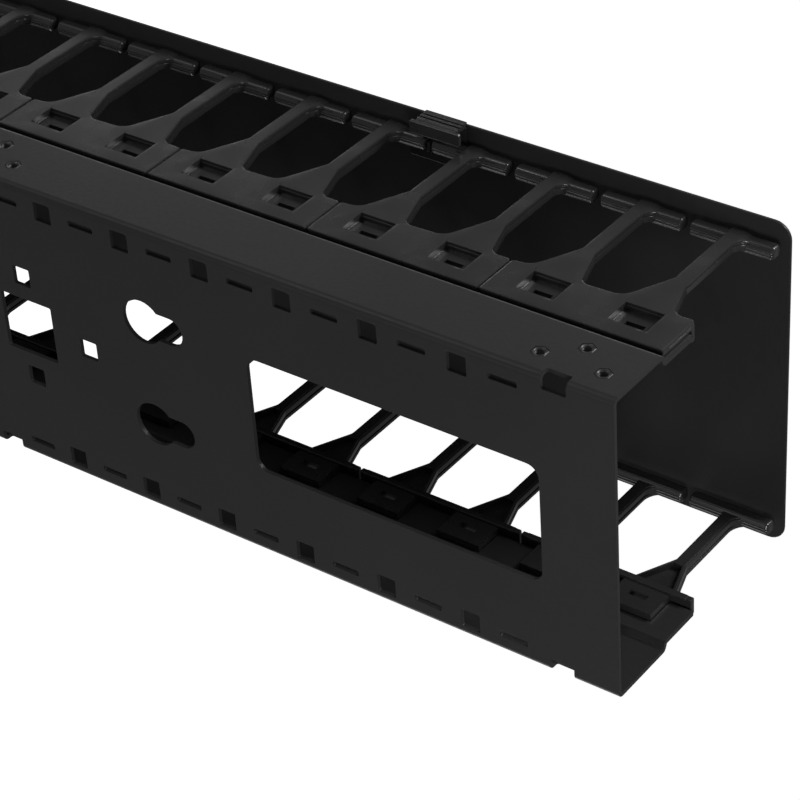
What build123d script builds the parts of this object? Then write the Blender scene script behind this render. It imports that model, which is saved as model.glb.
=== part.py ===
"""Vertical cable manager for a rack: folded channel, finger modules down both sides and a hinged door.

The manager stands upright. Z runs along its length, the door faces -Y and the mounting
plate lies in the plane Y = 0. The origin is the middle of the plate's bottom edge.
"""
import os
from math import atan2, tan

from build123d import *

# Whole size
rack_unit = 44.45
units_high = 42
end_margin = 1.55
length = units_high * rack_unit + 2 * end_margin
width = 152.4
half_width = width / 2

# Folded steel channel
sheet = 2.0
bend_radius = 1.2
flange_depth = 34.5
joggle_bend = 0.6
joggle_drop = 4.0
lip_start = 38.1
lip_end = 59.0

# Rack holes and slots along both long edges of the plate
hole_size = 9.5
hole_inset = 9.5
hole_offset = 30.2
slot_length = 13.9
slot_height = 2.8
slot_inset = 9.5

# Large features of the plate, repeated along it
pattern_units = 14
opening_length = 150.0
opening_width = 59.5
opening_corner = 6.0
opening_centre = 111.5
mount_centre = 316.0
keyhole_shift = 71.5
keyhole_diameter = 22.0
keyhole_neck = 14.0
keyhole_reach = 22.5
keyhole_spread = 55.3
square_size = 30.0
square_hole_shift = 36.0
square_hole_spread = 27.3

# Notches across the bends and the nuts beside them
notch_units = 7
notch_length = 12.0
notch_centre = 28.2
notch_width = 6.8
notch_depth = 5.5
nut_across = 8.0
nut_bore = 4.0
nut_height = 2.6
nut_clearance = 0.1
nut_spread = 14.9
nut_near = 13.6
nut_far = 25.0

# Finger modules
module_units = 2
module_gap = 0.2
module_near = 38.5
module_far = 63.5
wrap_clearance = 0.3
wrap_drop = 10.0
boss_near = 44.0
boss_drop = 9.0
boss_wall = 2.2
boss_clearance = 0.4
window_top = 12.9
window_length = 18.4
window_near = 46.7
window_far = 60.9
window_drop = 5.4
vent_inset = 2.6
vent_length = 11.0
vent_width = 3.0

# One finger, measured down from the top of its rack unit
root_top = 11.1
root_bottom = 33.4
root_round = 3.0
neck_top = 16.9
neck_bottom = 23.8
neck_start_top = 84.1
neck_start_bottom = 86.1
web_thickness = 1.8
rib_width = 3.6
finger_thickness = 5.0
arm_near = 123.5
arm_depth = 9.0
arm_thickness = 8.0
arm_inset = 0.8
arm_chamfer = 2.0
arm_top = 0.4
arm_bottom = 41.6

# Door and its clips
door_thickness = 1.5
door_overhang = 7.0
door_end_overhang = 1.0
door_corner = 8.0
clip_base = 1.2
clip_length = 25.0
clip_clearance = 0.35
clip_wall = 1.7
clip_cells = (4, 20, 36)
post_thickness = 2.0
latch_length = 22.0
latch_shift = 5.0
latch_edge = 85.0
latch_foot = 60.0
latch_foot_shift = -5.0
latch_root = 70.0
latch_near = 124.0
lip_length = 27.0
lip_depth = 2.2
lip_fall = 5.5
grip_steps = 3
grip_depth = 0.7
grip_width = 1.4

module_length = module_units * rack_unit
arm_centre_depth = arm_near + arm_depth / 2
arm_centre_x = half_width - arm_inset - arm_thickness / 2
arm_radius = ((arm_depth / 2) ** 2 + (arm_thickness / 2 - arm_chamfer) ** 2) ** 0.5
hook_inner = arm_radius + clip_clearance
hook_outer = hook_inner + clip_wall
door_face = arm_centre_depth + hook_inner + clip_base
lip_x = half_width - joggle_drop


def unit_top(unit):
    """Height of the top of a rack unit, counted down from the upper end."""
    return length - end_margin - unit * rack_unit


def channel_fold():
    """Corners of the folded section along the middle of the sheet, and the radius at each bend."""
    joggle_shift = sheet / 2 * tan(atan2(joggle_drop, lip_start - flange_depth) / 2)
    flange = half_width - sheet / 2
    lip = lip_x - sheet / 2
    right = [(lip, -lip_end), (lip, joggle_shift - lip_start), (flange, joggle_shift - flange_depth),
             (flange, -sheet / 2)]
    left = [(-x, y) for x, y in reversed(right)]
    joggle_radii = 2 * [joggle_bend + sheet / 2]
    return right + left, joggle_radii + 2 * [bend_radius + sheet / 2] + joggle_radii


def depth_box(x_from, x_to, depth_from, depth_to, z_from, z_to, mode=Mode.ADD):
    """Box given by its limits, with depth measured forward from the plate."""
    centre = ((x_from + x_to) / 2, -(depth_from + depth_to) / 2, (z_from + z_to) / 2)
    with Locations(centre):
        Box(abs(x_to - x_from), depth_to - depth_from, abs(z_to - z_from), mode=mode)


def nut_places():
    """Depth and height of every nut on one flange."""
    places = []
    for repeat in range(units_high // notch_units):
        middle = length - notch_centre - repeat * notch_units * rack_unit
        places += [(nut_far, middle), (nut_near, middle + nut_spread), (nut_near, middle - nut_spread)]
    return places


os.makedirs("parts", exist_ok=True)

# Folded channel with its flanges and joggled lips
with BuildPart() as channel:
    with BuildSketch(Plane.XY):
        with BuildLine():
            corners, radii = channel_fold()
            FilletPolyline(*corners, radius=radii)
        trace(line_width=sheet)
    extrude(amount=length)
    # Square rack holes and thin slots down both edges of the plate
    with BuildSketch(Plane.XZ):
        for side in (-1, 1):
            for unit in range(units_high):
                hole_z = length - hole_offset - unit * rack_unit
                if unit % notch_units:
                    with Locations((side * (half_width - hole_inset), hole_z)):
                        Rectangle(hole_size, hole_size)
                with Locations((side * (half_width - slot_inset), hole_z - rack_unit / 2)):
                    if hole_z - rack_unit > 0:
                        Rectangle(slot_height, slot_length)
    extrude(amount=sheet, mode=Mode.SUBTRACT)
    # Cable openings, hanging keyholes and square mounting cut-outs
    with BuildSketch(Plane.XZ):
        for repeat in range(units_high // pattern_units):
            pattern_middle = length - mount_centre - repeat * pattern_units * rack_unit
            for shift in (-1, 1):
                with Locations((0, pattern_middle + shift * (mount_centre - opening_centre))):
                    RectangleRounded(opening_width, opening_length, opening_corner)
                for side in (-1, 1):
                    keyhole_x = side * keyhole_spread / 2
                    keyhole_z = pattern_middle + shift * keyhole_shift
                    with Locations((keyhole_x, keyhole_z)):
                        Circle(keyhole_diameter / 2)
                    with Locations((keyhole_x, keyhole_z + (keyhole_reach - keyhole_neck / 2) / 2)):
                        SlotOverall(keyhole_reach + keyhole_neck / 2, keyhole_neck, rotation=90)
                    with Locations((side * square_hole_spread, pattern_middle)):
                        Rectangle(hole_size, hole_size)
                with Locations((0, pattern_middle + shift * square_hole_shift)):
                    Rectangle(hole_size, hole_size)
            with Locations((0, pattern_middle)):
                Rectangle(square_size, square_size)
    extrude(amount=sheet, mode=Mode.SUBTRACT)
    # Notches through both bends
    with BuildSketch(Plane.XZ.offset(-1)):
        for repeat in range(units_high // notch_units):
            notch_z = length - notch_centre - repeat * notch_units * rack_unit
            with Locations((half_width, notch_z), (-half_width, notch_z)):
                Rectangle(2 * notch_width, notch_length)
    extrude(amount=notch_depth + 1, mode=Mode.SUBTRACT)
    # Hexagonal holes for the nuts, through both flanges
    with BuildSketch(Plane.YZ):
        with Locations([(-depth, height) for depth, height in nut_places()]):
            RegularPolygon(nut_across / 2 + nut_clearance, 6, major_radius=False)
    extrude(amount=width, both=True, mode=Mode.SUBTRACT)
    # Cut-outs in both lips, open at their edges, that take the modules' bosses
    with BuildSketch(Plane.YZ):
        for unit in range(units_high):
            boss_centre = unit_top(unit) - window_top - window_length / 2
            with Locations((-lip_end, boss_centre)):
                Rectangle(2 * (lip_end - boss_near + boss_clearance),
                          window_length + 2 * (boss_wall + boss_clearance))
    extrude(amount=width, both=True, mode=Mode.SUBTRACT)
channel.part.label = "channel"
export_step(channel.part, "parts/channel.step")


def finger_outline(top):
    """Depth and height points of one finger's outer web, from its root to the cross arm."""
    return [
        (-module_far + 0.5, top - root_top + root_round),
        (-module_far, top - root_top + root_round),
        (-module_far - root_round, top - root_top - root_round * 0.3),
        (-neck_start_top, top - neck_top),
        (-arm_centre_depth, top - neck_top),
        (-arm_centre_depth, top - neck_bottom),
        (-neck_start_bottom, top - neck_bottom),
        (-module_far - root_round, top - root_bottom + root_round),
        (-module_far, top - root_bottom - root_round),
        (-module_far + 0.5, top - root_bottom - root_round),
    ]


# Finger modules, two fingers each, snapped over the lips down both sides
module_tops = [unit_top(step) for step in range(module_units)]
for side, side_name in ((1, "right"), (-1, "left")):
    with BuildPart() as module:
        module_top = unit_top(0) - module_gap
        module_bottom = unit_top(module_units) + module_gap
        depth_box(side * lip_x, side * half_width, module_near, module_far, module_bottom, module_top)
        depth_box(side * (half_width - wrap_drop), side * half_width, lip_end + wrap_clearance,
                  module_far, module_bottom, module_top)
        for top in module_tops:
            depth_box(side * (half_width - boss_drop), side * half_width, boss_near, module_far - 1,
                      top - window_top - window_length - boss_wall, top - window_top + boss_wall)
            with BuildSketch(Plane.YZ.offset(side * half_width)):
                with BuildLine():
                    Polyline(*finger_outline(top), close=True)
                make_face()
            extrude(amount=-side * web_thickness)
            middle = top - (neck_top + neck_bottom) / 2
            depth_box(side * (half_width - finger_thickness), side * half_width, module_far - 1,
                      arm_centre_depth, middle - rib_width / 2, middle + rib_width / 2)
            with BuildSketch(Plane.XY.offset(top - arm_bottom)):
                with Locations((side * arm_centre_x, -arm_centre_depth)):
                    arm_section = Rectangle(arm_thickness, arm_depth)
                chamfer(arm_section.vertices(), length=arm_chamfer)
            extrude(amount=arm_bottom - arm_top)
        for top in module_tops:
            depth_box(side * (half_width - window_drop), side * (half_width + 1), window_near,
                      window_far, top - window_top - window_length, top - window_top, Mode.SUBTRACT)
            depth_box(side * (half_width - boss_drop - 1), side * half_width, window_near + 0.8,
                      window_near + 0.8 + vent_width, top - window_top - vent_inset - vent_length,
                      top - window_top - vent_inset, Mode.SUBTRACT)
    for number in range(units_high // module_units):
        placed = module.part.moved(Location((0, 0, -number * module_length)))
        placed.label = f"finger_module_{side_name}_{number + 1:02d}"
        export_step(placed, f"parts/{placed.label}.step")

# Clinch nuts, flush in the flanges
for side, side_name in ((1, "right"), (-1, "left")):
    with BuildPart() as nuts:
        with BuildSketch(Plane.YZ.offset(side * half_width)):
            with Locations([(-depth, height) for depth, height in nut_places()]):
                RegularPolygon(nut_across / 2, 6, major_radius=False)
                Circle(nut_bore / 2, mode=Mode.SUBTRACT)
        extrude(amount=-side * nut_height)
    nuts.part.label = f"clinch_nuts_{side_name}"
    export_step(nuts.part, f"parts/clinch_nuts_{side_name}.step")

# Flat door in front of the fingers
with BuildPart() as door:
    with BuildSketch(Plane.XZ.offset(door_face)):
        with Locations((0, length / 2)):
            RectangleRounded(width + 2 * door_overhang, length + 2 * door_end_overhang, door_corner)
    extrude(amount=door_thickness)
door.part.label = "door"
export_step(door.part, "parts/door.step")

# Clips on the back of the door: hooks that turn on the left arms
for number, cell in enumerate(clip_cells):
    gap_middle = unit_top(cell) + (rack_unit - arm_bottom - arm_top) / 2
    low = gap_middle - clip_length / 2
    with BuildPart() as hinge_clip:
        depth_box(-half_width - clip_wall, hook_outer - arm_centre_x, door_face - clip_base, door_face,
                  low, low + clip_length)
        depth_box(-arm_centre_x - arm_thickness / 4, -arm_centre_x + arm_thickness / 4, arm_centre_depth,
                  door_face, gap_middle - post_thickness / 2, gap_middle + post_thickness / 2)
        with BuildSketch(Plane.XY.offset(low)):
            with Locations((-arm_centre_x, -arm_centre_depth)):
                Circle(hook_outer)
                Circle(hook_inner, mode=Mode.SUBTRACT)
            with Locations((hook_outer - arm_centre_x, -arm_centre_depth)):
                Rectangle(2 * hook_outer - hook_inner, 2 * hook_outer, mode=Mode.SUBTRACT)
            with Locations((-arm_centre_x, -door_face - hook_outer)):
                Rectangle(2 * hook_outer, 2 * hook_outer, mode=Mode.SUBTRACT)
        extrude(amount=clip_length)
    hinge_clip.part.label = f"hinge_clip_{number + 1}"
    export_step(hinge_clip.part, f"parts/hinge_clip_{number + 1}.step")

# Clips on the latch side: a foot, a ridged grip outside the arms and a lip bar along its near edge
for number, cell in enumerate(clip_cells):
    gap_middle = unit_top(cell) + (rack_unit - arm_bottom - arm_top) / 2
    grip_middle = gap_middle + latch_shift
    foot_middle = gap_middle + latch_foot_shift
    with BuildPart() as latch_clip:
        depth_box(latch_root, latch_edge, door_face - clip_base, door_face,
                  grip_middle - latch_length / 2, grip_middle + latch_length / 2)
        depth_box(latch_foot, latch_root + clip_wall, door_face - clip_base, door_face,
                  foot_middle - latch_length / 2, foot_middle + latch_length / 2)
        depth_box(arm_centre_x - arm_thickness / 4, arm_centre_x + arm_thickness / 4, arm_centre_depth,
                  door_face, gap_middle - post_thickness / 2, gap_middle + post_thickness / 2)
        depth_box(latch_edge - clip_wall, latch_edge, latch_near, door_face,
                  grip_middle - latch_length / 2, grip_middle + latch_length / 2)
        depth_box(latch_edge - lip_fall, latch_edge, latch_near, latch_near + lip_depth,
                  grip_middle - lip_length / 2, grip_middle + lip_length / 2)
        # Finger grooves along the grip
        groove_pitch = (door_face - latch_near - lip_depth) / (grip_steps + 0.5)
        for step in range(grip_steps):
            groove_near = latch_near + lip_depth + (step + 0.5) * groove_pitch
            depth_box(latch_edge - grip_depth, latch_edge + 1, groove_near, groove_near + grip_width,
                      grip_middle - lip_length / 2, grip_middle + lip_length / 2, Mode.SUBTRACT)
    latch_clip.part.label = f"latch_clip_{number + 1}"
    export_step(latch_clip.part, f"parts/latch_clip_{number + 1}.step")
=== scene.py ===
import math

import bmesh
import bpy
from mathutils import Matrix, Quaternion, Vector


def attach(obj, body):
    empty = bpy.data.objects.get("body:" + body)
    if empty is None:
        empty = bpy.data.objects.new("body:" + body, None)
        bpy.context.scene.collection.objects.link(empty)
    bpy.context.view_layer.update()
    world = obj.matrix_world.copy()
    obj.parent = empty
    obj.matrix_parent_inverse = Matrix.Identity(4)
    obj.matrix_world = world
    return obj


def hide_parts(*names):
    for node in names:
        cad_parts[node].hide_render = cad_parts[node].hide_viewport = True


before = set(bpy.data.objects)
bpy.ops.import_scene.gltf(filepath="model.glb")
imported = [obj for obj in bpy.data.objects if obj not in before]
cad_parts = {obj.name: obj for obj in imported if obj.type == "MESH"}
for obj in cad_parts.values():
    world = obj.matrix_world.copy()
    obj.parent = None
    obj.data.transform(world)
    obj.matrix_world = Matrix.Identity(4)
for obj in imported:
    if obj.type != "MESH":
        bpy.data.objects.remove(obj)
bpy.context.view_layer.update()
MM = 0.001

# Sizes in millimetres
UNIT = 44.45
UNITS = 42
MARGIN = 1.55
LENGTH = UNITS * UNIT + 2 * MARGIN
HALF = 76.2
SHEET = 2.0
FLANGE = 36.2
LIP_START = 38.1
LIP_END = 59.0
DROP = 4.0
FAR = 63.5
ARM_MID = 128.0
ARM_X = HALF - 0.8 - 4.0
ARM_RADIUS = math.hypot(4.5, 2.0)
HOOK_IN = ARM_RADIUS + 0.35
HOOK_OUT = HOOK_IN + 1.7
DOOR_FACE = ARM_MID + HOOK_IN + 1.2
DOOR_THICK = 1.5
DOOR_OVERHANG = 7.0
DOOR_CORNER = 8.0

# Holes of the plate
SQUARE = 9.5
INSET = 9.5
FIRST_SQUARE = 30.2
SLOT_WIDE = 2.8
SLOT_LONG = 13.9
PATTERN = 14
PATTERN_MIDDLE = 316.0
OPENING_SHIFT = 204.5
OPENING_WIDE = 59.5
OPENING_LONG = 150.0
KEYHOLE_X = 27.65
KEYHOLE_SHIFT = 71.5
KEYHOLE_RADIUS = 11.0
KEYHOLE_SLOT = 7.0
KEYHOLE_REACH = 22.5
SQUARE_SHIFT = 36.0
SQUARE_X = 27.3
CENTRE_HOLE = 30.0

# Notches across the bends, and the nuts beside them as (depth, shift along the length)
NOTCH_UNITS = 7
NOTCH_Z = 28.2
NOTCH_LONG = 12.0
NOTCH_IN = 6.8
NOTCH_DEPTH = 5.5
NUTS = ((25.0, 0), (13.6, 14.9), (13.6, -14.9))
NUT_FLAT = 3.3
NUT_HOLE = 3.95

# Module windows, tubs and cut-outs of the lip
WINDOW_NEAR = 46.7
WINDOW_FAR = 60.9
WINDOW_TOP = 12.9
WINDOW_LONG = 18.4
TUB_NEAR = 44.2
TUB_FAR = 62.4
TUB_WALL = 2.2
TUB_DEEP = 9.0
FLOOR_AT = 4.2
CUT_NEAR_GAP = 0.6
CUT_END_GAP = 0.4
SEAM = 0.42
MODULE_GAP = 0.2
WEB_TOP = 16.9
WEB_LOW = 23.8

# Heights on which the clips sit, as rack units from the top
CLIP_UNITS = (4, 20, 36)


def unit_top(unit):
    return LENGTH - MARGIN - unit * UNIT


# Materials
def new_material(name):
    mat = bpy.data.materials.new(name)
    mat.use_nodes = True
    tree = mat.node_tree
    tree.nodes.clear()
    out = tree.nodes.new("ShaderNodeOutputMaterial")
    shader = tree.nodes.new("ShaderNodeBsdfPrincipled")
    tree.links.new(shader.outputs["BSDF"], out.inputs["Surface"])
    coords = tree.nodes.new("ShaderNodeTexCoord")
    return mat, tree, shader, coords.outputs["Object"]


def noise(tree, where, scale, detail=3.0, rough=0.5):
    node = tree.nodes.new("ShaderNodeTexNoise")
    node.inputs["Scale"].default_value = scale
    node.inputs["Detail"].default_value = detail
    node.inputs["Roughness"].default_value = rough
    tree.links.new(where, node.inputs["Vector"])
    return node.outputs["Fac"]


def ramp(tree, value, low, high, start=0.3, end=0.7):
    node = tree.nodes.new("ShaderNodeMapRange")
    node.inputs["From Min"].default_value = start
    node.inputs["From Max"].default_value = end
    node.inputs["To Min"].default_value = low
    node.inputs["To Max"].default_value = high
    tree.links.new(value, node.inputs["Value"])
    return node.outputs["Result"]


def mix_colour(tree, factor, a, b):
    node = tree.nodes.new("ShaderNodeMix")
    node.data_type = "RGBA"
    node.inputs["A"].default_value = (*a, 1)
    node.inputs["B"].default_value = (*b, 1)
    tree.links.new(factor, node.inputs["Factor"])
    return node.outputs["Result"]


def bump(tree, shader, heights):
    last = None
    for height, strength, distance in heights:
        node = tree.nodes.new("ShaderNodeBump")
        node.inputs["Strength"].default_value = strength
        node.inputs["Distance"].default_value = distance
        tree.links.new(height, node.inputs["Height"])
        if last is not None:
            tree.links.new(last, node.inputs["Normal"])
        last = node.outputs["Normal"]
    tree.links.new(last, shader.inputs["Normal"])


def powder_coat(name, colour, rough):
    mat, tree, shader, where = new_material(name)
    grain = noise(tree, where, 1900, 2.0)
    peel = noise(tree, where, 420, 3.0)
    cloud = noise(tree, where, 9, 4.0)
    light = tuple(c * 1.16 + 0.001 for c in colour)
    tree.links.new(mix_colour(tree, ramp(tree, cloud, 0, 1), colour, light), shader.inputs["Base Color"])
    tree.links.new(ramp(tree, peel, rough - 0.05, rough + 0.06), shader.inputs["Roughness"])
    shader.inputs["Specular IOR Level"].default_value = 0.2
    bump(tree, shader, [(grain, 0.22, 0.00012), (peel, 0.25, 0.0002)])
    return mat


def moulded(name, colour, rough):
    mat, tree, shader, where = new_material(name)
    fine = noise(tree, where, 2600, 2.0)
    flow = noise(tree, where, 60, 4.0)
    cloud = noise(tree, where, 14, 3.0)
    light = tuple(c * 1.14 + 0.001 for c in colour)
    tree.links.new(mix_colour(tree, ramp(tree, cloud, 0, 1), colour, light), shader.inputs["Base Color"])
    tree.links.new(ramp(tree, flow, rough - 0.05, rough + 0.07), shader.inputs["Roughness"])
    shader.inputs["Specular IOR Level"].default_value = 0.5
    bump(tree, shader, [(fine, 0.12, 0.00008), (flow, 0.08, 0.0002)])
    return mat


def coated_nut(name, colour):
    mat, tree, shader, where = new_material(name)
    grain = noise(tree, where, 1500, 3.0)
    worn = noise(tree, where, 260, 4.0)
    bright = tuple(min(1, c * 1.7) for c in colour)
    shade = mix_colour(tree, ramp(tree, worn, 0, 1, 0.45, 0.75), colour, bright)
    tree.links.new(shade, shader.inputs["Base Color"])
    tree.links.new(ramp(tree, worn, 0.3, 0.45), shader.inputs["Roughness"])
    shader.inputs["Metallic"].default_value = 0.35
    bump(tree, shader, [(grain, 0.2, 0.0001)])
    return mat


coat = powder_coat("powder_coat", (0.0205, 0.0205, 0.0215), 0.38)
door_coat = powder_coat("door_coat", (0.018, 0.018, 0.019), 0.42)
plastic = moulded("moulded_black", (0.019, 0.019, 0.020), 0.24)
clip_plastic = moulded("clip_black", (0.018, 0.018, 0.019), 0.24)
nut_finish = coated_nut("nut_coat", (0.028, 0.028, 0.03))


# Mesh helpers
def finish_mesh(name, bm, material, angle=32):
    bmesh.ops.recalc_face_normals(bm, faces=bm.faces)
    mesh = bpy.data.meshes.new(name)
    bm.to_mesh(mesh)
    bm.free()
    for poly in mesh.polygons:
        poly.use_smooth = True
    mesh.set_sharp_from_angle(angle=math.radians(angle))
    mesh.materials.append(material)
    # Normals weighted by area keep the flats flat beside their eased edges
    obj = bpy.data.objects.new(name, mesh)
    bpy.context.scene.collection.objects.link(obj)
    obj.modifiers.new("weighted", "WEIGHTED_NORMAL").keep_sharp = True
    bpy.context.view_layer.update()
    shaded = bpy.data.meshes.new_from_object(obj.evaluated_get(bpy.context.evaluated_depsgraph_get()))
    bpy.data.objects.remove(obj)
    bpy.data.meshes.remove(mesh)
    shaded.name = name
    return shaded


def place(name, mesh, body, nodes=(), offset=(0, 0, 0)):
    obj = bpy.data.objects.new(name, mesh)
    obj.location = Vector(offset) * MM
    bpy.context.scene.collection.objects.link(obj)
    bpy.context.view_layer.update()
    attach(obj, body)
    if nodes:
        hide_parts(*nodes)
    return obj


def arc(cx, cy, radius, start, end, steps):
    return [
        (cx + radius * math.cos(math.radians(start + (end - start) * i / steps)),
         cy + radius * math.sin(math.radians(start + (end - start) * i / steps)))
        for i in range(steps + 1)
    ]


def rounded_polygon(corners):
    """Closed outline with each corner (x, y, radius) rounded."""
    points = []
    count = len(corners)
    for i, (x, y, radius) in enumerate(corners):
        here = Vector((x, y))
        if radius <= 0:
            points.append((x, y))
            continue
        to_prev = (Vector(corners[i - 1][:2]) - here).normalized()
        to_next = (Vector(corners[(i + 1) % count][:2]) - here).normalized()
        half = to_prev.angle(to_next) / 2
        reach = radius / math.tan(half)
        centre = here + (to_prev + to_next).normalized() * (radius / math.sin(half))
        first = here + to_prev * reach - centre
        last = here + to_next * reach - centre
        turn = first.angle_signed(last)
        steps = max(2, int(abs(math.degrees(turn)) / 12))
        for k in range(steps + 1):
            step = first.copy()
            step.rotate(Matrix.Rotation(-turn * k / steps, 2))
            points.append(tuple(centre + step))
    return points


def rectangle(cx, cy, wide, high, radius):
    w, h = wide / 2, high / 2
    return rounded_polygon([(cx - w, cy - h, radius), (cx + w, cy - h, radius),
                            (cx + w, cy + h, radius), (cx - w, cy + h, radius)])


def sheet_mesh(outline, holes, thickness, edge):
    """Flat sheet in XY, centred on z = 0, with eased edges, from an outline and its holes."""
    curve = bpy.data.curves.new("flat", "CURVE")
    curve.dimensions = "2D"
    curve.fill_mode = "BOTH"
    curve.extrude = thickness / 2 - edge
    curve.bevel_depth = edge
    curve.bevel_resolution = 1
    curve.offset = -edge
    for points in [outline] + holes:
        spline = curve.splines.new("POLY")
        spline.points.add(len(points) - 1)
        for point, (x, y) in zip(spline.points, points):
            point.co = (x, y, 0, 1)
        spline.use_cyclic_u = True
    obj = bpy.data.objects.new("flat", curve)
    bpy.context.scene.collection.objects.link(obj)
    bpy.context.view_layer.update()
    mesh = bpy.data.meshes.new_from_object(obj.evaluated_get(bpy.context.evaluated_depsgraph_get()))
    bpy.data.objects.remove(obj)
    bm = bmesh.new()
    bm.from_mesh(mesh)
    bpy.data.meshes.remove(mesh)
    bmesh.ops.remove_doubles(bm, verts=bm.verts, dist=0.002)
    return bm


def add_box(bm, low, high, bevel, segments):
    """Block between two corners with rounded edges."""
    size = [h - l for l, h in zip(low, high)]
    middle = [(h + l) / 2 for l, h in zip(low, high)]
    place_at = Matrix.Translation(middle) @ Matrix.Diagonal((*size, 1))
    made = bmesh.ops.create_cube(bm, size=1.0, matrix=place_at)
    edges = list({edge for vert in made["verts"] for edge in vert.link_edges})
    bmesh.ops.bevel(bm, geom=edges, offset=bevel, segments=segments, profile=0.5, affect="EDGES")


def bridge(bm, first, second):
    """Band of faces between two rings of equal count."""
    for i in range(len(first)):
        j = (i + 1) % len(first)
        bm.faces.new((first[i], first[j], second[j], second[i]))


def add_prism(bm, section, axis_points):
    """Rings of the closed section, one at each (position, inset), joined into a capped bar along z."""
    rings = []
    middle = Vector((sum(x for x, _ in section) / len(section), sum(y for _, y in section) / len(section)))
    for z, inset in axis_points:
        ring = []
        for x, y in section:
            away = Vector((x, y)) - middle
            reach = away.length
            spot = middle + away * max(0.0, (reach - inset) / reach)
            ring.append(bm.verts.new((spot.x, spot.y, z)))
        rings.append(ring)
    for first, second in zip(rings, rings[1:]):
        bridge(bm, first, second)
    bm.faces.new(rings[0][::-1])
    bm.faces.new(rings[-1])


# Folded channel: a flat pattern with every hole, folded along its section
BEND = 3.2
TURN_OUT = 2.6
TURN_IN = 0.6
SLOPE = math.atan2(DROP, LIP_START - FLANGE)


def section_path():
    """Runs of the right half of the section: (length, turn in radians, radius on the outer face)."""
    first = TURN_OUT * math.tan(SLOPE / 2)
    second = TURN_IN * math.tan(SLOPE / 2)
    slant = math.hypot(DROP, LIP_START - FLANGE)
    return [
        (HALF - BEND, 0, 0),
        (BEND * math.pi / 2, -math.pi / 2, BEND),
        (FLANGE - first - BEND, 0, 0),
        (TURN_OUT * SLOPE, -SLOPE, TURN_OUT),
        (slant - first - second, 0, 0),
        (TURN_IN * SLOPE, SLOPE, TURN_IN),
        (LIP_END - LIP_START - second, 0, 0),
    ]


PATH = section_path()
S_FLANGE = PATH[0][0] + PATH[1][0]
S_LIP = sum(run[0] for run in PATH[:6]) - (LIP_START + TURN_IN * math.tan(SLOPE / 2))
S_END = sum(run[0] for run in PATH)


def fold(s, inward):
    """Place on the section for a flat distance from the middle and a depth below the outer face."""
    sign = 1 if s >= 0 else -1
    left = abs(s)
    x, y, heading = 0.0, 0.0, 0.0
    for run, turn, radius in PATH:
        step = min(left, run)
        if turn == 0:
            x += step * math.cos(heading)
            y += step * math.sin(heading)
        else:
            side = math.copysign(1, turn)
            cx = x - side * radius * math.sin(heading)
            cy = y + side * radius * math.cos(heading)
            heading += turn * step / run
            x = cx + side * radius * math.sin(heading)
            y = cy - side * radius * math.cos(heading)
        left -= step
        if left <= 0:
            break
    x += inward * math.sin(heading)
    y -= inward * math.cos(heading)
    return sign * x, y


def flange_s(depth):
    return S_FLANGE + depth - BEND


def lip_s(depth):
    return S_LIP + depth


def notch_heights():
    return [LENGTH - NOTCH_Z - repeat * NOTCH_UNITS * UNIT for repeat in range(UNITS // NOTCH_UNITS)]


def channel_outline():
    """Flat pattern's edge, with one cut-out of the lip a unit."""
    right = [(S_END, 0)]
    for unit in reversed(range(UNITS)):
        centre = unit_top(unit) - WINDOW_TOP - WINDOW_LONG / 2
        reach = WINDOW_LONG / 2 + TUB_WALL + CUT_END_GAP
        near = lip_s(TUB_NEAR - CUT_NEAR_GAP)
        low, high = centre - reach, centre + reach
        right += [(S_END, low), (near, low), (near, high), (S_END, high)]
    right += [(S_END, LENGTH)]
    return right + [(-s, z) for s, z in reversed(right)]


def channel_holes():
    """Every hole of the flat pattern, as outlines in distance from the middle and height."""
    holes = []
    for side in (-1, 1):
        for unit in range(UNITS):
            z = LENGTH - FIRST_SQUARE - unit * UNIT
            if unit % NOTCH_UNITS:
                holes.append(rectangle(side * (HALF - INSET), z, SQUARE, SQUARE, 0.6))
            if z - UNIT > 0:
                holes.append(rectangle(side * (HALF - INSET), z - UNIT / 2, SLOT_WIDE, SLOT_LONG, 0.5))
        for z in notch_heights():
            inner, outer = HALF - NOTCH_IN, flange_s(NOTCH_DEPTH)
            holes.append(rectangle(side * (inner + outer) / 2, z, outer - inner, NOTCH_LONG, 0.8))
            for depth, shift in NUTS:
                holes.append([(side * flange_s(depth) + NUT_HOLE * math.cos(math.radians(60 * k)),
                               z + shift + NUT_HOLE * math.sin(math.radians(60 * k))) for k in range(6)])
    for repeat in range(UNITS // PATTERN):
        middle = LENGTH - PATTERN_MIDDLE - repeat * PATTERN * UNIT
        for shift in (-1, 1):
            holes.append(rectangle(0, middle + shift * OPENING_SHIFT, OPENING_WIDE, OPENING_LONG, 6.0))
            for side in (-1, 1):
                x, z = side * KEYHOLE_X, middle + shift * KEYHOLE_SHIFT
                meet = math.degrees(math.asin(KEYHOLE_SLOT / KEYHOLE_RADIUS))
                points = arc(x, z, KEYHOLE_RADIUS, 90 + meet, 450 - meet, 30)
                points += arc(x, z + KEYHOLE_REACH - KEYHOLE_SLOT, KEYHOLE_SLOT, 0, 180, 14)
                holes.append(points)
            holes.append(rectangle(0, middle + shift * SQUARE_SHIFT, SQUARE, SQUARE, 0.6))
        for side in (-1, 1):
            holes.append(rectangle(side * SQUARE_X, middle, SQUARE, SQUARE, 0.6))
        holes.append(rectangle(0, middle, CENTRE_HOLE, CENTRE_HOLE, 0.8))
    return holes


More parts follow.
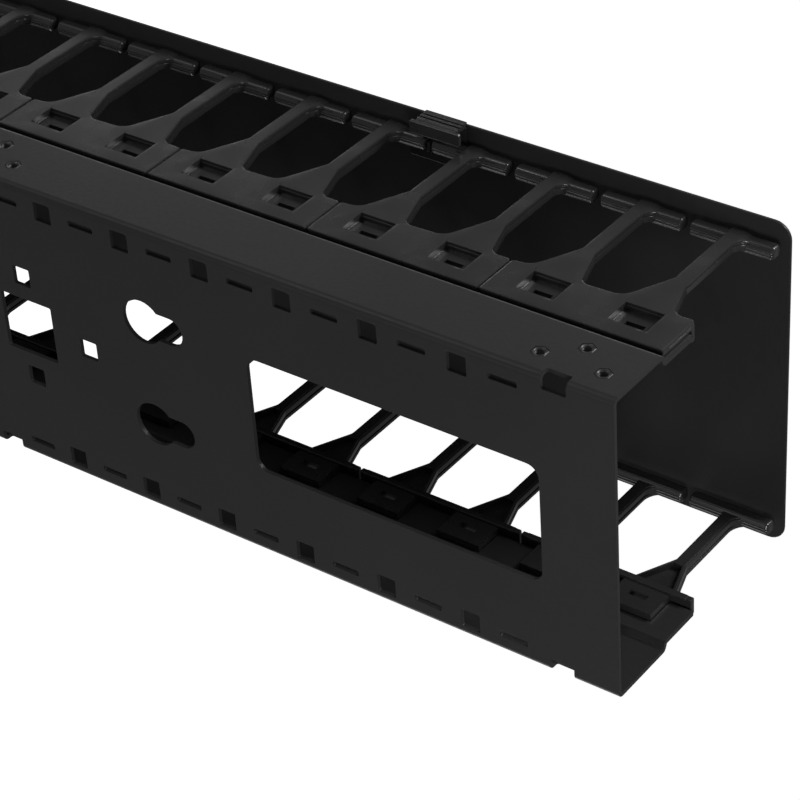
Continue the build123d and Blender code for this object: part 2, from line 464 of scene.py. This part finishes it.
def build_channel():
    """Flat pattern cut along its bends and folded."""
    bm = sheet_mesh(channel_outline(), channel_holes(), SHEET, 0.16)
    cuts = []
    place_s = 0.0
    for run, turn, _radius in PATH:
        steps = max(1, round(abs(math.degrees(turn)) / 9)) if turn else 1
        cuts += [place_s + run * k / steps for k in range(steps + 1)]
        place_s += run
    for cut in sorted(set(round(c, 4) for c in cuts if 0.1 < c < S_END - 0.1)):
        for side in (-1, 1):
            bmesh.ops.bisect_plane(bm, geom=bm.verts[:] + bm.edges[:] + bm.faces[:], dist=0.0005,
                                   plane_co=(side * cut, 0, 0), plane_no=(1, 0, 0))
    for vert in bm.verts:
        x, y = fold(vert.co.x, SHEET / 2 - vert.co.z)
        vert.co = Vector((x, y, vert.co.y)) * MM
    return finish_mesh("channel_sheet", bm, coat, 25)


place("channel_sheet", build_channel(), "frame", ["channel"])


# Finger modules
def module_outline(tops):
    """Depth and height of the outer plate with its two fingers."""
    low = unit_top(2) + SEAM
    high = unit_top(0) - SEAM
    corners = [(38.9, low, 0.6), (38.9, high, 0.6), (FAR, high, 1.6)]
    for top in tops:
        corners += [
            (FAR, top - 8.3, 3.0),
            (FAR + 2.0, top - 11.1, 2.4),
            (84.1, top - WEB_TOP, 3.0),
            (126.0, top - WEB_TOP, 6.5),
            (126.6, top - 5.5, 0.6),
            (130.0, top - 5.0, 0.6),
            (131.6, top - 16.0, 4.0),
            (131.6, top - WEB_LOW, 1.6),
            (86.1, top - WEB_LOW, 4.0),
            (FAR + 0.6, top - 35.2, 8.0),
        ]
    corners.append((FAR, low, 1.6))
    return rounded_polygon(corners[::-1])


def window_outline(top):
    wide, tall = WINDOW_FAR - WINDOW_NEAR + 0.1, WINDOW_LONG + 0.1
    return rectangle((WINDOW_NEAR + WINDOW_FAR) / 2, top - WINDOW_TOP - WINDOW_LONG / 2, wide, tall, 0.15)


def arm_section():
    """Cross arm, as (below the outer face, depth)."""
    return [(y, x) for x, y in rounded_polygon([
        (132.2, 0.9, 2.2), (126.6, 0.7, 1.5), (124.8, 3.2, 0.9), (125.2, 4.0, 0.25), (124.8, 4.7, 0.9),
        (126.2, 7.1, 1.2), (131.2, 7.1, 1.6), (132.2, 5.4, 0.8),
    ])]


def add_layer(bm, outline, x_low, x_high, edge, holes=()):
    """Flat layer of an outline in depth and height, between two distances from the outer face."""
    flat = sheet_mesh(outline, list(holes), x_high - x_low, edge)
    middle = (x_low + x_high) / 2
    made = {vert: bm.verts.new((vert.co.z + middle, -vert.co.x, vert.co.y)) for vert in flat.verts}
    for face in flat.faces:
        bm.faces.new([made[vert] for vert in face.verts])
    flat.free()


def web_outline(top, inset, turn):
    """Depth and height of a layer under the web, which follows its edges and spreads into the arm."""
    upper, lower = top - WEB_TOP - inset, top - WEB_LOW + inset
    return rounded_polygon([
        (63.0, top - 35.5 + 1.1 * inset, 0.0), (63.0, top - 11.2 - inset, 0.0),
        (66.0, top - 11.3 - inset, 1.0), (84.1, upper, 3.0), (125.6, upper, turn),
        (125.6, top - 7.0, 0.0), (129.0, top - 7.0, 0.0),
        (129.0, top - 27.6, 0.0), (125.6, top - 27.6, 0.0), (125.6, lower, 1.2), (86.1, lower, 4.0),
    ])


def web_pocket(top):
    """Recess between the rims of the web, open to the inside."""
    return rounded_polygon([(66.5, top - 31.9, 0.6), (66.5, top - 13.6, 0.6),
                            (83.0, top - 18.6, 0.5), (83.0, top - 23.3, 0.5)])


def add_cup(bm, top):
    """Tub behind a window: straight walls, rounded into a floor with a slot, and a plain outside."""
    high = top - WINDOW_TOP
    low = high - WINDOW_LONG

    def ring(x, near, far, z_low, z_high):
        corners = ((near, z_low), (far, z_low), (far, z_high), (near, z_high))
        return [bm.verts.new((x, -depth, z)) for depth, z in corners]

    outside = (TUB_NEAR, TUB_FAR, low - TUB_WALL, high + TUB_WALL)
    inside = (WINDOW_NEAR, WINDOW_FAR, low, high)
    rim = (WINDOW_NEAR - 0.7, WINDOW_FAR + 0.7, low - 0.7, high + 0.7)
    rings = [ring(-TUB_DEEP, *outside), ring(-1.6, *outside), ring(-0.01, *rim), ring(-0.01, *inside),
             ring(-2.9, *inside)]
    radius = 0.35
    for k in range(1, 6):
        angle = math.radians(18 * k)
        inset = radius * (1 - math.cos(angle))
        rings.append(ring(-2.9 - radius * math.sin(angle), WINDOW_NEAR + inset, WINDOW_FAR - inset,
                          low + inset, high - inset))
    slot = (51.4, 54.5, high - 14.0, high - 5.0)
    rings += [ring(-FLOOR_AT, *slot), ring(-TUB_DEEP, *slot)]
    for first, second in zip(rings, rings[1:] + rings[:1]):
        bridge(bm, first, second)


def ease(t):
    t = min(1.0, max(0.0, t))
    return t * t * (3 - 2 * t)


def build_module(side):
    """One module with its outer face on x = 0 and its top unit starting at the first unit's top."""
    tops = [unit_top(step) for step in range(2)]
    bm = bmesh.new()
    flat = sheet_mesh(module_outline(tops), [window_outline(top) for top in tops], 2.0, 0.5)
    # Cuts that let the web sink smoothly into the top of the long arm
    cuts = [(Vector((121.0 + 1.2 * k, 0, 0)), Vector((1, 0, 0))) for k in range(9)]
    cuts += [(Vector((0, top - 18.0 + 1.5 * k, 0)), Vector((0, 1, 0))) for top in tops for k in range(9)]
    for place_at, normal in cuts:
        bmesh.ops.bisect_plane(flat, geom=flat.verts[:] + flat.edges[:] + flat.faces[:], dist=0.0005,
                               plane_co=place_at, plane_no=normal)
    made = {}
    for vert in flat.verts:
        top = tops[0] if vert.co.y > tops[1] else tops[1]
        sink = ease((vert.co.x - 121.0) / 4.0) * (0.1 + 1.3 * ease((vert.co.y - top + 18.0) / 9.0))
        made[vert] = bm.verts.new((vert.co.z - 1.0 - sink, -vert.co.x, vert.co.y))
    for face in flat.faces:
        bm.faces.new([made[vert] for vert in face.verts])
    flat.free()
    low, high = unit_top(2) + MODULE_GAP, unit_top(0) - MODULE_GAP
    # Rims under the plate, which rest on the lip, and the wrap round the lip's edge
    add_box(bm, (-3.5, -44.6, low + 0.5), (-1.8, -39.2, high - 0.5), 0.2, 1)
    between_tubs = ((high - 0.4, tops[0] - 10.0), (tops[0] - 34.0, tops[1] - 10.0),
                    (tops[1] - 34.0, low + 0.4))
    for upper, lower in between_tubs:
        add_box(bm, (-3.5, -FAR + 1.0, lower), (-1.8, -44.0, upper), 0.2, 1)
    add_layer(bm, rectangle(61.95, (low + high) / 2, 2.9, high - low - 0.6, 0.6), -9.6, -1.4, 0.4)
    add_box(bm, (-10.0, -FAR + 0.25, low + 3.0), (-8.2, -59.8, high - 3.0), 0.5, 2)
    for top in tops:
        add_cup(bm, top)
        # Rims and neck under the web, in three layers with a groove, and the cross arm
        add_layer(bm, web_outline(top, 0.85, 6.6), -2.9, -1.5, 0.2)
        add_layer(bm, web_outline(top, 0.15, 6.0), -5.4, -2.5, 0.4, [web_pocket(top)])
        add_layer(bm, web_outline(top, 0.75, 5.0), -6.0, -5.0, 0.3, [web_pocket(top)])
        start, end = top - 41.6, top - 0.4
        rings = [(start, 1.9), (start + 0.25, 1.1), (start + 0.8, 0.4), (start + 1.6, 0.0),
                 (end - 1.6, 0.0), (end - 0.8, 0.4), (end - 0.25, 1.1), (end, 1.9)]
        add_prism(bm, [(-below, -depth) for below, depth in arm_section()], rings)
    for vert in bm.verts:
        vert.co = Vector((side * (HALF + vert.co.x), vert.co.y, vert.co.z)) * MM
    return finish_mesh("module_mesh", bm, plastic, 30)


for side, side_name in ((1, "right"), (-1, "left")):
    mesh = build_module(side)
    for number in range(UNITS // 2):
        place(f"module_{side_name}_{number + 1:02d}", mesh, "frame",
              [f"finger_module_{side_name}_{number + 1:02d}"], (0, 0, -number * 2 * UNIT))


# Clinch nuts
def build_nuts(side):
    """Flush hexagonal nuts of one flange, each with a ringed bore in place of its thread."""
    bm = bmesh.new()
    for z in notch_heights():
        for depth, shift in NUTS:
            count = 24
            hexagon = []
            for k in range(count):
                angle = math.radians(360 * k / count)
                local = math.radians((360 * k / count) % 60 - 30)
                hexagon.append((angle, NUT_FLAT / math.cos(local)))
            sides = [(-2.6, -0.1), (-0.25, -0.05), (-0.05, -0.25)]
            bore = [(-0.05, 2.75), (-0.3, 2.45)]
            bore += [(-0.5 - 0.3 * turn, 2.0 + 0.25 * (turn % 2)) for turn in range(6)] + [(-2.6, 2.0)]
            rings = [[(x, r + change, a) for a, r in hexagon] for x, change in sides]
            rings += [[(x, radius, a) for a, _ in hexagon] for x, radius in bore]
            made = [[bm.verts.new((side * (HALF + x), -depth + r * math.cos(a), z + shift + r * math.sin(a)))
                     for x, r, a in ring] for ring in rings]
            for first, second in zip(made, made[1:] + made[:1]):
                bridge(bm, first, second)
    for vert in bm.verts:
        vert.co *= MM
    return finish_mesh("nut_mesh", bm, nut_finish, 30)


for side, side_name in ((1, "right"), (-1, "left")):
    place(f"nuts_{side_name}", build_nuts(side), "frame", [f"clinch_nuts_{side_name}"])


# Door
def build_door():
    """Flat cover with rounded corners, on the arms' outer side."""
    outline = rectangle(0, LENGTH / 2, 2 * (HALF + DOOR_OVERHANG), LENGTH + 2.0, DOOR_CORNER)
    bm = sheet_mesh(outline, [], DOOR_THICK, 0.4)
    for vert in bm.verts:
        x, z, lift = vert.co
        vert.co = Vector((x, -DOOR_FACE - DOOR_THICK / 2 - lift, z)) * MM
    return finish_mesh("door_mesh", bm, door_coat, 25)


place("door_sheet", build_door(), "door", ["door"])


# Clips on the door
def gap_middle(cell):
    return unit_top(cell) + 1.225


def add_profile(bm, profile, low, high, chamfer=0.25):
    """Bar along z with a section in x and depth."""
    section = [(x, -depth) for x, depth in profile]
    add_prism(bm, section, [(low, chamfer), (low + chamfer, 0.0), (high - chamfer, 0.0), (high, chamfer)])


def build_latch_clip(cell):
    """Ridged finger grip with a lip bar, standing on the door outside the arms, and its foot inside them."""
    middle = gap_middle(cell)
    grip = middle + 5.0
    bm = bmesh.new()
    add_profile(bm, rounded_polygon([
        (82.4, DOOR_FACE, 0), (82.4, 125.4, 0.3), (84.0, 125.4, 0.3), (84.0, 126.8, 0.2), (84.6, 127.0, 0.3),
        (84.6, 128.2, 0.3), (83.7, 128.5, 0.2), (83.7, 129.2, 0.2), (84.7, 129.5, 0.3), (84.7, 130.6, 0.3),
        (83.9, 130.9, 0.2), (83.9, 131.6, 0.2), (84.9, 131.9, 0.4), (84.9, DOOR_FACE, 0)]),
        grip - 11, grip + 11)
    add_profile(bm, rounded_polygon([
        (77.8, 124.2, 0.5), (83.9, 124.2, 0.5), (83.9, 126.2, 0.5), (79.6, 126.2, 0.4), (77.8, 125.4, 0.4)]),
        grip - 13.5, grip + 13.5, 0.5)
    add_box(bm, (70.0, -DOOR_FACE, grip - 11), (84.8, -DOOR_FACE + 1.2, grip + 11), 0.3, 2)
    add_box(bm, (60.0, -DOOR_FACE, middle - 16), (71.5, -DOOR_FACE + 1.2, middle + 6), 0.35, 2)
    add_box(bm, (ARM_X - 2.2, -DOOR_FACE, middle - 0.9), (ARM_X + 2.2, -126.4, middle + 0.9), 0.3, 2)
    for vert in bm.verts:
        vert.co *= MM
    return finish_mesh("latch_clip_mesh", bm, clip_plastic, 30)


def build_hinge_clip(cell):
    """Hooks round the arms on a base, with a rib between the arms."""
    middle = gap_middle(cell)
    bm = bmesh.new()
    hook = arc(ARM_X, ARM_MID, HOOK_OUT, -118, 90, 26)
    hook += arc(ARM_X, ARM_MID, HOOK_IN, 90, -118, 22)
    add_profile(bm, [(-x, d) for x, d in hook if d < DOOR_FACE - 0.05], middle - 12.5, middle + 12.5)
    add_box(bm, (-HALF - 1.6, -DOOR_FACE, middle - 12.5),
            (HOOK_OUT - ARM_X, -DOOR_FACE + 1.2, middle + 12.5), 0.3, 2)
    add_box(bm, (-ARM_X - 2.0, -DOOR_FACE, middle - 1.0), (-ARM_X + 2.0, -ARM_MID, middle + 1.0), 0.2, 1)
    for vert in bm.verts:
        vert.co *= MM
    return finish_mesh("hinge_clip_mesh", bm, clip_plastic, 30)


for number, cell in enumerate(CLIP_UNITS):
    place(f"latch_grip_{number + 1}", build_latch_clip(cell), "door",
          [f"latch_clip_{number + 1}"])
    place(f"hinge_hook_{number + 1}", build_hinge_clip(cell), "door",
          [f"hinge_clip_{number + 1}"])


# Floor, white to the camera and still shaded by what stands on it
def floor_material():
    mat = bpy.data.materials.new("floor")
    mat.use_nodes = True
    tree = mat.node_tree
    tree.nodes.clear()
    out = tree.nodes.new("ShaderNodeOutputMaterial")
    matt = tree.nodes.new("ShaderNodeBsdfDiffuse")
    matt.inputs["Color"].default_value = (0.82, 0.82, 0.82, 1)
    glow = tree.nodes.new("ShaderNodeEmission")
    glow.inputs["Color"].default_value = (1, 1, 1, 1)
    path = tree.nodes.new("ShaderNodeLightPath")
    level = tree.nodes.new("ShaderNodeMath")
    level.operation = "MULTIPLY"
    level.inputs[1].default_value = 0.85
    both = tree.nodes.new("ShaderNodeAddShader")
    tree.links.new(path.outputs["Is Camera Ray"], level.inputs[0])
    tree.links.new(level.outputs["Value"], glow.inputs["Strength"])
    tree.links.new(matt.outputs["BSDF"], both.inputs[0])
    tree.links.new(glow.outputs["Emission"], both.inputs[1])
    tree.links.new(both.outputs["Shader"], out.inputs["Surface"])
    return mat


def stage_plane(name, corners, mat):
    mesh = bpy.data.meshes.new(name)
    mesh.from_pydata([Vector(c) for c in corners], [], [(0, 1, 2, 3)])
    mesh.materials.append(mat)
    obj = bpy.data.objects.new(name, mesh)
    bpy.context.scene.collection.objects.link(obj)
    return obj


stage_plane("floor", [(-9, -9, -0.001), (9, -9, -0.001), (9, 9, -0.001), (-9, 9, -0.001)], floor_material())

# World, lights and camera
world = bpy.data.worlds.new("studio")
bpy.context.scene.world = world
world.use_nodes = True
tree = world.node_tree
tree.nodes.clear()
out = tree.nodes.new("ShaderNodeOutputWorld")
seen = tree.nodes.new("ShaderNodeBackground")
seen.inputs["Color"].default_value = (1, 1, 1, 1)
seen.inputs["Strength"].default_value = 1.0
soft = tree.nodes.new("ShaderNodeBackground")
soft.inputs["Color"].default_value = (1, 1, 1, 1)
soft.inputs["Strength"].default_value = 0.18
path = tree.nodes.new("ShaderNodeLightPath")
mixer = tree.nodes.new("ShaderNodeMixShader")
tree.links.new(path.outputs["Is Camera Ray"], mixer.inputs["Fac"])
tree.links.new(soft.outputs["Background"], mixer.inputs[1])
tree.links.new(seen.outputs["Background"], mixer.inputs[2])
tree.links.new(mixer.outputs["Shader"], out.inputs["Surface"])


def area(name, place_at, aim, size, power):
    data = bpy.data.lights.new(name, "AREA")
    data.shape = "RECTANGLE"
    data.size, data.size_y = size
    data.energy = power
    obj = bpy.data.objects.new(name, data)
    obj.location = place_at
    obj.rotation_mode = "QUATERNION"
    obj.rotation_quaternion = (Vector(aim) - Vector(place_at)).to_track_quat("-Z", "Y")
    obj.visible_camera = False
    bpy.context.scene.collection.objects.link(obj)


area("key_end", (0.55, -0.5, 2.25), (0.07, -0.06, 1.8), (0.28, 0.28), 5.4)
area("rim_far", (0.28, -0.95, 0.75), (0.07, -0.06, 1.8), (0.3, 0.3), 0.6)
area("rim_side", (1.2, 0.5, 1.0), (0.07, 0, 1.7), (0.2, 0.2), 1.2)
area("front", (0.1, 0.5, 2.25), (0, 0, 1.8), (0.25, 0.25), 2.6)
area("front_low", (0.6, 2.4, 0.7), (0, 0, 0.7), (1.2, 1.2), 4)
area("back_low", (0.3, -2.4, 0.7), (0, -0.13, 0.7), (1.2, 1.2), 10)
area("side_low", (2.2, 0.2, 0.3), (0.07, -0.06, 0.5), (1.0, 1.0), 4)
area("other_side", (-2.2, 0.2, 0.8), (-0.07, -0.06, 0.8), (1.2, 1.2), 8)

camera = bpy.data.cameras.new("camera")
camera.sensor_width = 36
camera.lens = 128.861
camera.clip_start = 0.05
camera.clip_end = 60
view = bpy.data.objects.new("camera", camera)
view.rotation_mode = "QUATERNION"
view.location = (0.71813, 0.75057, 2.36048)
view.rotation_quaternion = Quaternion((-0.487609, 0.482802, 0.117084, 0.717935))
bpy.context.scene.collection.objects.link(view)
bpy.context.scene.camera = view
bpy.context.scene.view_settings.view_transform = "Standard"
